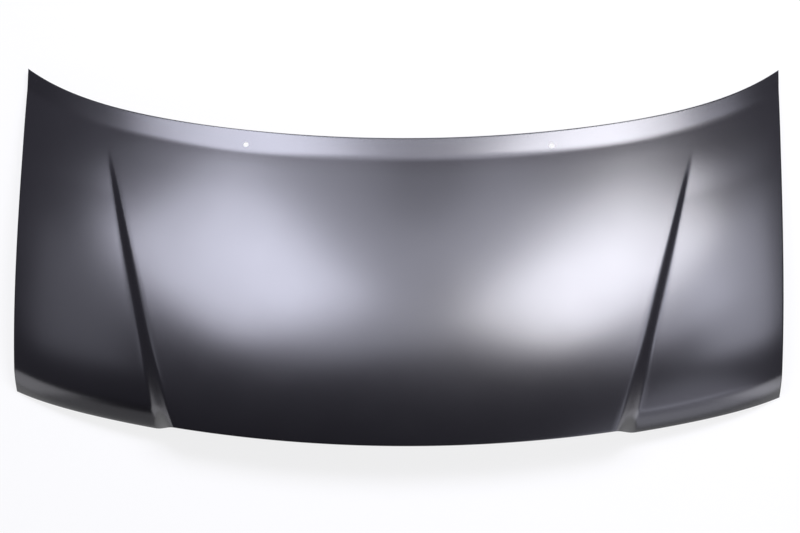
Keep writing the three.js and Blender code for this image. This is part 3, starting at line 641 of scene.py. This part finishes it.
class Cell:
    """One cut-out between the ribs, given by the grid lines of the ribs' middles."""

    def __init__(self, x, y, i0, i1, j0, j1):
        across = np.arange(i0, i1)
        along = np.arange(j0, j1)
        self.i = np.concatenate([across, np.full(j1 - j0, i1), across[::-1] + 1, np.full(j1 - j0, i0)])
        self.j = np.concatenate([np.full(i1 - i0, j0), along, np.full(i1 - i0, j1), along[::-1] + 1])
        self.border = np.stack([x[self.j, self.i], y[self.j, self.i]], axis=-1)
        west = x[self.j, i0]
        east = x[self.j, i1]
        south = y[j0, self.i]
        north = y[j1, self.i]
        self.across = 2 * (self.border[:, 0] - west) / (east - west) - 1
        self.along = 2 * (self.border[:, 1] - south) / (north - south) - 1
        places = ((j0, i0), (j0, i1), (j1, i1), (j1, i0))
        self.corners = [np.array([x[place], y[place]]) for place in places]
        self.half_x = (self.corners[1][0] - self.corners[0][0] + self.corners[2][0] - self.corners[3][0]) / 4
        self.half_y = (self.corners[3][1] - self.corners[0][1] + self.corners[2][1] - self.corners[1][1]) / 4

    def ring(self, inset, power):
        """Ring moved in from the border, its corners rounded as a superellipse of that power."""
        radius = (np.abs(self.across) ** power + np.abs(self.along) ** power) ** (-1 / power)
        a = (self.across * (1 - inset / self.half_x) * radius + 1) / 2
        b = (self.along * (1 - inset / self.half_y) * radius + 1) / 2
        return bilinear(self.corners, a, b)

    def at(self, inset, stations):
        """Ring at any inset: straight between the border and the rings of the given stations."""
        insets = [0.0, *[station[0] for station in stations]]
        rings = [self.border, *[self.ring(*station) for station in stations]]
        k = min(int(np.searchsorted(insets, inset, side="right")) - 1, len(rings) - 2)
        share = (inset - insets[k]) / (insets[k + 1] - insets[k])
        return lerp(rings[k], rings[k + 1], share)


def frame_holes(pads):
    """Holes of the frame: jet access, bump stops, tooling, the prop rod and the bolts."""
    sheets = group("sheets")
    up = (0.0, 0.0, 1.0)
    through = 0.04
    access_reach = 0.09
    bolt_reach = 0.012
    stop_y = front_edge(sheets.stop_x) + sheets.stop_in
    tooling_y = rear_edge(sheets.tooling_x) - sheets.tooling_in
    round_holes = ((sheets.stop_x, stop_y, sheets.stop_bore),
                   (sheets.tooling_x, tooling_y, sheets.tooling_bore))
    holes = [(pads["prop"].point, pads["prop"].normal, sheets.prop_bore, through)]
    for side in (-1, 1):
        jet = jet_point(side) + np.array([0, sheets.access_back, 0])
        holes.append((jet, up, sheets.access_bore, access_reach))
        for x, y, bore in round_holes:
            place = on_skin(np.array(side * x), np.array(y)) - np.array([0, 0, rib_depth(x)])
            holes.append((place, up, bore, through))
    spacings = {"left": sheets.hinge_spacing, "right": sheets.hinge_spacing, "latch": sheets.latch_spacing}
    for name, spacing in spacings.items():
        pad = pads[name]
        along = np.array([1.0, 0.0, 0.0]) - pad.normal * pad.normal[0]
        along /= np.linalg.norm(along)
        places = [pad.point + end * along * spacing / 2 for end in (-1, 1)]
        holes += [(place, pad.normal, sheets.bolt_hole, bolt_reach) for place in places]
    return holes


def frame_cells(columns, rows, x, y):
    """The seven cut-outs: the middle one, and front, rear and outer ones on each side."""
    def line(values, wanted):
        return int(np.argmin(np.abs(values - wanted)))

    front, middle, rear = (line(rows, wanted) for wanted in (FRONT_ROW, RIB_ROW, REAR_ROW))
    cells = {"middle": Cell(x, y, line(columns, -RIB_COLUMN), line(columns, RIB_COLUMN), front, rear)}
    for tail, side in (("left", -1), ("right", 1)):
        inner = sorted((line(columns, side * RIB_COLUMN), line(columns, side)))
        outer = sorted((line(columns, side), line(columns, side * RIM_COLUMN)))
        cells[f"front_{tail}"] = Cell(x, y, *inner, front, middle)
        cells[f"rear_{tail}"] = Cell(x, y, *inner, middle, rear)
        cells[f"outer_{tail}"] = Cell(x, y, *outer, front, rear)
    return cells


def stations():
    """Insets and squareness of a cut-out's floor line, wall top and free edge."""
    sheets = group("sheets")
    floor_square, wall_square, edge_square = 9, 6, 5
    floor = sheets.rib_half_floor
    wall = floor + sheets.rib_wall_run
    return [(floor, floor_square), (wall, wall_square), (wall + sheets.rib_flange, edge_square)]


def frame_grid():
    """Columns, rows and plan points of the frame's fine grid, its stops at ribs, walls and rim lines."""
    sheets = group("sheets")
    flange_in = 0.002
    insets = [sheets.rim_middle, sheets.rim_floor, sheets.first_ring, flange_in]
    side = spans([0, RIB_COLUMN, 1, 2, 3, 4, 5, 6], [14, 14, 4, 14, 6, 8, 2])
    columns = np.concatenate([-side[:0:-1], side])
    rows = spans([0, 1, 2, 3, 4, RIB_ROW, 5, 6, 7, 8], [2, 8, 6, 10, 10, 20, 6, 8, 2])
    x, y = plan_points(columns, rows, insets)
    return columns, rows, x, y


def edge_distance(x, y):
    """Rough distance of a plan point from the nearest edge of the panel."""
    v = length_share(x, y)
    return np.minimum(np.minimum(y - front_edge(x), rear_edge(x) - y), half_width(v) - np.abs(x))


def make_inner_frame():
    """Rim channel and ribs on a fine grid, and a patch of rings round each cut-out.

    The depth goes by smooth steps from the hem flange to the channel's floor, and from a rib's floor
    to the flange of a cut-out.
    """
    sheets = group("sheets")
    pads = pressed_pads()
    columns, rows, x, y = frame_grid()
    hem = sheets.skin + sheets.sheet_gap
    soft = sheets.press_radius
    run = sheets.rim_floor - sheets.first_ring
    share = smooth((edge_distance(x, y) - sheets.first_ring + soft / 2) / (run + soft))
    depth = lerp(hem, rib_depth(x), share)
    points = [frame_surface(x, y, depth, share, pads).reshape(-1, 3)]
    ids = np.arange(x.size).reshape(x.shape)
    c, r = np.meshgrid((columns[:-1] + columns[1:]) / 2, (rows[:-1] + rows[1:]) / 2)
    rim = ((np.abs(c) > RIM_COLUMN) | (r < FRONT_ROW) | (r > REAR_ROW)).reshape(-1)
    quads = [grid_quads(ids)[rim]]
    count = x.size
    stops = stations()
    wall_start = stops[0][0] - soft / 2
    wall_run = stops[1][0] - stops[0][0] + soft
    rings_mm = [6, 12, 15, 17, 18, 19.5, 21, 23, 25, 26.5, 28, 29.5, 31, 36, 42]
    for cell in frame_cells(columns, rows, x, y).values():
        last = ids[cell.j, cell.i]
        for inset in np.array(rings_mm) * MM:
            ring = cell.at(inset, stops)
            floor_share = (1 - smooth((inset - wall_start) / wall_run)) * np.ones(len(ring))
            ring_depth = lerp(sheets.flange_depth, rib_depth(ring[:, 0]), floor_share)
            points.append(frame_surface(ring[:, 0], ring[:, 1], ring_depth, floor_share, pads))
            following = count + np.arange(len(last))
            quads.append(loop_quads(last, following))
            last = following
            count += len(last)
    body = new_mesh("electro_coated_inner_frame", np.concatenate(points), np.concatenate(quads))
    loose_points_out(body)
    drilled_sheet(body, sheets.frame_sheet, frame_holes(pads))
    seat(body, "coat", "inner_frame")
    return body


# Striker loop

def make_striker_loop():
    """Round wire carried along two feet, two legs and a half circle, all in one upright plane.

    The wire, the legs and the bends between leg and foot are given by the radii of their middle lines.
    """
    low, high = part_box("striker_loop")
    wire = 0.004
    leg = 0.017
    bend = 0.006
    foot = high[0]
    base = high[2] - wire
    drop = high[2] - low[2] - 2 * wire
    wire_sides = 28
    quarter = np.linspace(0, math.pi / 2, 9)
    half = np.linspace(0, math.pi, 25)
    foot_line = np.array([[-foot, 0.0]])
    turn = np.stack([-leg - bend + bend * np.sin(quarter), -bend + bend * np.cos(quarter)], axis=-1)
    bow = np.stack([-leg * np.cos(half), -(drop - leg) - leg * np.sin(half)], axis=-1)
    back = turn[::-1] * [-1, 1]
    path = np.concatenate([foot_line, turn, bow, back, foot_line * [-1, 1]])
    along = np.gradient(path, axis=0)
    along /= np.linalg.norm(along, axis=1, keepdims=True)
    middle_y = (low[1] + high[1]) / 2
    angles = np.linspace(0, 2 * math.pi, wire_sides, endpoint=False)
    out = np.stack([along[:, 1], -along[:, 0]], axis=-1)
    x = path[:, :1] + wire * np.cos(angles) * out[:, :1]
    z = base + path[:, 1:] + wire * np.cos(angles) * out[:, 1:]
    y = middle_y + wire * np.sin(angles) * np.ones_like(x)
    points = np.stack([x, y, z], axis=-1).reshape(-1, 3)
    ids = np.arange(len(points)).reshape(x.shape)
    quads = np.concatenate([loop_quads(ids[k], ids[k + 1]) for k in range(len(ids) - 1)])
    faces = [*quads.tolist(), ids[0][::-1].tolist(), ids[-1].tolist()]
    loop = new_mesh("zinc_plated_striker_loop", points, faces)
    split = loop.modifiers.new("Edges", "EDGE_SPLIT")
    split.split_angle = SHARP
    seat(loop, "zinc", "striker_loop")
    return loop


# Materials

def add_node(tree, kind, links=None, **settings):
    """Adds a node, sets its properties or inputs by name, and links its inputs."""
    node = tree.nodes.new(kind)
    for name, value in settings.items():
        if hasattr(node, name):
            setattr(node, name, value)
        else:
            node.inputs[name.replace("_", " ")].default_value = value
    for name, source in (links or {}).items():
        tree.links.new(source, node.inputs[name])
    return node


def blank_material(name):
    """New material with an empty node tree; gives the material, the tree and its output node."""
    material = bpy.data.materials.new(name)
    material.use_nodes = True
    tree = material.node_tree
    tree.nodes.clear()
    return material, tree, tree.nodes.new("ShaderNodeOutputMaterial")


def object_pattern(tree, kind, scale, **settings):
    """Pattern on Object coordinates, its scale in cells per metre."""
    place = add_node(tree, "ShaderNodeTexCoord")
    return add_node(tree, kind, {"Vector": place.outputs["Object"]}, Scale=scale, **settings)


def ranged(tree, value, before, after):
    """A value carried from one range to another."""
    node = add_node(tree, "ShaderNodeMapRange", {"Value": value}, From_Min=before[0], From_Max=before[1],
                    To_Min=after[0], To_Max=after[1])
    return node.outputs["Result"]


def tinted(tree, factor, first, second):
    """Colour that goes from the first to the second with a pattern's value.

    The node's colours sit at its inputs 6 and 7 and its output 2.
    """
    tint = add_node(tree, "ShaderNodeMix", {"Factor": factor}, data_type="RGBA")
    tint.inputs[6].default_value = first
    tint.inputs[7].default_value = second
    return tint.outputs[2]


def bumped(tree, height_value, strength, distance):
    """Normal that a pattern's value raises by up to the distance in metres."""
    bump = add_node(tree, "ShaderNodeBump", {"Height": height_value}, Strength=strength, Distance=distance)
    return bump.outputs["Normal"]


def surfaced(tree, output, links, **settings):
    """Wires a Principled surface to the material's output."""
    shader = add_node(tree, "ShaderNodeBsdfPrincipled", links, **settings)
    tree.links.new(shader.outputs["BSDF"], output.inputs["Surface"])


def electro_coat(name):
    """Cathodic epoxy electro-coat, dipped and baked: satin black, a faint violet cast in its sheen."""
    look = group("finish")
    material, tree, output = blank_material(name)
    # Film thickness drifts over 150 mm, which shifts the sheen a little
    drift = object_pattern(tree, "ShaderNodeTexNoise", 6.5, Detail=3.0)
    # Orange peel of baked film: cells of about 2 mm, a few micrometres high
    peel = object_pattern(tree, "ShaderNodeTexNoise", 480.0, Detail=2.0)
    gloss = ranged(tree, drift.outputs["Fac"], (0.25, 0.75), (0.22, 0.25))
    surfaced(tree, output, {
        "Base Color": tinted(tree, drift.outputs["Fac"], look.coat, look.coat_worn),
        "Roughness": gloss,
        "Normal": bumped(tree, peel.outputs["Fac"], 0.10, 0.00006),
    }, IOR=1.86)
    return material


def zinc_plate(name):
    """Bright zinc plating with a clear passivate: grey metal with soft cloudy dull spots."""
    look = group("finish")
    material, tree, output = blank_material(name)
    cloud = object_pattern(tree, "ShaderNodeTexNoise", 260.0, Detail=4.0)
    grit = object_pattern(tree, "ShaderNodeTexNoise", 1500.0, Detail=2.0)
    gloss = ranged(tree, cloud.outputs["Fac"], (0.3, 0.7), (0.30, 0.48))
    surfaced(tree, output, {
        "Base Color": tinted(tree, cloud.outputs["Fac"], look.zinc_light, look.zinc_dark),
        "Roughness": gloss,
        "Normal": bumped(tree, grit.outputs["Fac"], 0.25, 0.0001),
    }, Metallic=1.0)
    return material


def flutter_mastic(name):
    """Expandable rubber mastic laid by nozzle: dull dark grey with small blisters."""
    look = group("finish")
    material, tree, output = blank_material(name)
    blister = object_pattern(tree, "ShaderNodeTexVoronoi", 600.0).outputs["Distance"]
    surfaced(tree, output, {
        "Base Color": tinted(tree, blister, look.mastic, look.coat_worn),
        "Normal": bumped(tree, blister, 0.6, 0.0004),
    }, Roughness=0.85, IOR=1.5)
    return material


def studio_floor(name):
    """Seamless matt studio floor, nearly white, with a trace of paper grain.

    To the camera and to reflections it glows white over most of its colour, so that shadows stay pale.
    """
    look = group("finish")
    studio = group("studio")
    material, tree, output = blank_material(name)
    grain = object_pattern(tree, "ShaderNodeTexNoise", 900.0)
    rough = bumped(tree, grain.outputs["Fac"], 0.05, 0.0002)
    paper = add_node(tree, "ShaderNodeBsdfDiffuse", {"Normal": rough}, Color=look.floor)
    glow = add_node(tree, "ShaderNodeEmission", Strength=1.0)
    ray = add_node(tree, "ShaderNodeLightPath")
    seen = ray.outputs["Is Camera Ray"]
    for kind in ("Is Glossy Ray", "Is Transmission Ray"):
        both = add_node(tree, "ShaderNodeMath", operation="MAXIMUM")
        tree.links.new(seen, both.inputs[0])
        tree.links.new(ray.outputs[kind], both.inputs[1])
        seen = both.outputs["Value"]
    share = add_node(tree, "ShaderNodeMath", operation="MULTIPLY")
    tree.links.new(seen, share.inputs[0])
    share.inputs[1].default_value = 1 - studio.shadow_share
    shader = add_node(tree, "ShaderNodeMixShader", {"Fac": share.outputs["Value"]})
    tree.links.new(paper.outputs["BSDF"], shader.inputs[1])
    tree.links.new(glow.outputs["Emission"], shader.inputs[2])
    tree.links.new(shader.outputs["Shader"], output.inputs["Surface"])
    return material


FINISHES = {
    "coat": ("satin_black_electro_coat", electro_coat),
    "zinc": ("passivated_zinc_plate", zinc_plate),
    "mastic": ("anti_flutter_mastic", flutter_mastic),
    "floor": ("matt_studio_floor", studio_floor),
}


def finish(slot):
    """The material of a slot, made the first time it is asked for."""
    name, maker = FINISHES[slot]
    return bpy.data.materials.get(name) or maker(name)


def coat_with(piece, material):
    """Puts one material on a piece."""
    piece.data.materials.clear()
    piece.data.materials.append(material)


# Operators, one for each piece or group of like pieces

class BONNET_OT_outer_panel(bpy.types.Operator):
    """Make the pressed and hemmed outer panel"""

    bl_idname = "bonnet.outer_panel"
    bl_label = "Outer panel"

    def execute(self, context):
        coat_with(make_outer_panel(), finish("coat"))
        return {"FINISHED"}


class BONNET_OT_inner_frame(bpy.types.Operator):
    """Make the pressed inner frame with its ribs, cut-outs and holes"""

    bl_idname = "bonnet.inner_frame"
    bl_label = "Inner frame"

    def execute(self, context):
        coat_with(make_inner_frame(), finish("coat"))
        return {"FINISHED"}


class BONNET_OT_striker(bpy.types.Operator):
    """Make the striker's bent wire loop"""

    bl_idname = "bonnet.striker"
    bl_label = "Striker loop"

    def execute(self, context):
        coat_with(make_striker_loop(), finish("zinc"))
        return {"FINISHED"}


class BONNET_OT_finish_plates(bpy.types.Operator):
    """Give the kept plates, nuts, bolts and pads their finishes"""

    bl_idname = "bonnet.finish_plates"
    bl_label = "Finish of the kept parts"

    def execute(self, context):
        slots = {row["node"]: row["material_slot"] for row in frame["record"]["subparts"]}
        for name, node in frame["nodes"].items():
            material = finish(slots[name])
            if node.material_slots:
                node.material_slots[0].link = "OBJECT"
                node.material_slots[0].material = material
            else:
                node.data.materials.append(material)
        return {"FINISHED"}


class BONNET_OT_stage(bpy.types.Operator):
    """Lay the floor and place the softboxes, the room's light and the camera"""

    bl_idname = "bonnet.stage"
    bl_label = "Studio"

    def execute(self, context):
        make_floor()
        make_lights()
        make_room()
        make_camera()
        return {"FINISHED"}


# Stage

# Place of each softbox, then its width and height
LAMPS = {
    "right": ((0.780, 0.874, 2.061), (0.644, 1.149)),
    "left": ((-0.752, 0.928, 2.047), (0.781, 0.991)),
    "middle": ((-0.340, 0.988, 2.131), (0.740, 1.468)),
    "wide": ((0.759, 0.879, 2.067), (1.654, 0.689)),
    "side": ((1.519, 0.478, 1.742), (1.177, 0.640)),
    "left_side": ((-1.50, 0.35, 1.74), (1.1, 0.7)),
    "front": ((0.0, -3.0, 0.9), (7.0, 1.7)),
    "corner": ((1.75, -2.1, 1.45), (2.4, 2.3)),
    "right_front": ((1.6, -1.1, 2.25), (1.3, 1.0)),
    "low_right": ((3.0, -1.6, 0.95), (1.4, 1.75)),
    "low_left": ((-3.0, -1.6, 0.95), (1.4, 1.75)),
}
CLEAR_LAMPS = ("right", "front", "low_right", "low_left")


def make_floor():
    """Wide level floor under the bonnet."""
    reach = 30.0
    corners = np.array([[-1, -1, 0], [1, -1, 0], [1, 1, 0], [-1, 1, 0]]) * reach
    floor = new_mesh("studio_floor", corners, [(0, 1, 2, 3)])
    coat_with(floor, finish("floor"))


def softbox(name, place, size, level, shade):
    """Softbox facing the bonnet's middle; its power is its radiance times pi times its area."""
    aim = (0.0, 0.0, 0.1)
    light = bpy.data.lights.new(name, "AREA")
    light.shape = "RECTANGLE"
    light.size = size[0]
    light.size_y = size[1]
    light.energy = level * math.pi * size[0] * size[1]
    light.color = shade[:3]
    holder = bpy.data.objects.new(name, light)
    holder.location = place
    holder.rotation_euler = (Vector(aim) - Vector(place)).to_track_quat("-Z", "Y").to_euler()
    bpy.context.scene.collection.objects.link(holder)


def make_lights():
    """A tall softbox right and left behind the bonnet, and weak ones between, beside and before them."""
    studio = group("studio")
    look = group("finish")
    for name, (place, size) in LAMPS.items():
        shade = look.clear_light if name in CLEAR_LAMPS else look.cool_light
        softbox(f"softbox_{name}", place, size, getattr(studio, f"{name}_level"), shade)


def make_room():
    """Weak light from all round, brighter behind: one plus the tilt times the direction's Y."""
    studio = group("studio")
    look = group("finish")
    world = bpy.data.worlds.new("studio_room")
    world.use_nodes = True
    tree = world.node_tree
    direction = add_node(tree, "ShaderNodeTexCoord")
    parts = add_node(tree, "ShaderNodeSeparateXYZ", {"Vector": direction.outputs["Generated"]})
    brightest = studio.room_level * (1 + studio.room_tilt)
    level = ranged(tree, parts.outputs["Y"], (-1 / studio.room_tilt, 1.0), (0.0, brightest))
    background = tree.nodes["Background"]
    background.inputs["Color"].default_value = look.room_light
    tree.links.new(level, background.inputs["Strength"])
    bpy.context.scene.world = world
    bpy.context.scene.view_settings.view_transform = "Standard"


def make_camera():
    """Camera at the photograph's angle: in front of and well above the bonnet, slightly rolled."""
    studio = group("studio")
    turn = math.radians(studio.side_angle)
    tilt = math.radians(studio.elevation)
    back = Vector((math.sin(turn) * math.cos(tilt), -math.cos(turn) * math.cos(tilt), math.sin(tilt)))
    right = Vector((math.cos(turn), math.sin(turn), 0.0))
    over = back.cross(right)
    roll = math.radians(studio.roll)
    across = right * math.cos(roll) + over * math.sin(roll)
    upright = over * math.cos(roll) - right * math.sin(roll)
    place = Vector(studio.aim) + back * studio.distance
    data = bpy.data.cameras.new("photograph_camera")
    data.lens = studio.lens
    data.sensor_width = 36.0    # millimetres
    camera = bpy.data.objects.new("photograph_camera", data)
    camera.matrix_world = Matrix.Translation(place) @ Matrix((across, upright, back)).transposed().to_4x4()
    bpy.context.scene.collection.objects.link(camera)
    bpy.context.scene.camera = camera


# Panel in the sidebar and registration

class BONNET_PT_sidebar(bpy.types.Panel):
    """Sizes, colours and pieces of the bonnet"""

    bl_idname = "BONNET_PT_sidebar"
    bl_label = "Car bonnet"
    bl_space_type = "VIEW_3D"
    bl_region_type = "UI"
    bl_category = "Bonnet"

    def draw(self, context):
        layout = self.layout
        for title in GROUPS:
            column = layout.column(align=True)
            settings = getattr(context.scene, title)
            for name in settings.__annotations__:
                column.prop(settings, name)
        for operator in OPERATORS:
            layout.operator(operator.bl_idname)


GROUPS = {
    "bonnet_plan": BonnetPlan,
    "bonnet_relief": BonnetRelief,
    "bonnet_sheets": BonnetSheets,
    "bonnet_finish": BonnetFinish,
    "bonnet_studio": BonnetStudio,
    "bonnet_grid": BonnetGrid,
}
OPERATORS = (
    BONNET_OT_outer_panel,
    BONNET_OT_inner_frame,
    BONNET_OT_striker,
    BONNET_OT_finish_plates,
    BONNET_OT_stage,
)


def register():
    for name, kind in GROUPS.items():
        bpy.utils.register_class(kind)
        setattr(bpy.types.Scene, name, PointerProperty(type=kind))
    for operator in OPERATORS:
        bpy.utils.register_class(operator)
    bpy.utils.register_class(BONNET_PT_sidebar)


def unregister():
    bpy.utils.unregister_class(BONNET_PT_sidebar)
    for operator in reversed(OPERATORS):
        bpy.utils.unregister_class(operator)
    for name, kind in GROUPS.items():
        delattr(bpy.types.Scene, name)
        bpy.utils.unregister_class(kind)


def main():
    """Registers the add-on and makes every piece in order."""
    register()
    bpy.ops.bonnet.stage()
    bpy.ops.bonnet.outer_panel()
    bpy.ops.bonnet.inner_frame()
    bpy.ops.bonnet.striker()
    bpy.ops.bonnet.finish_plates()


if __name__ == "__main__":
    main()
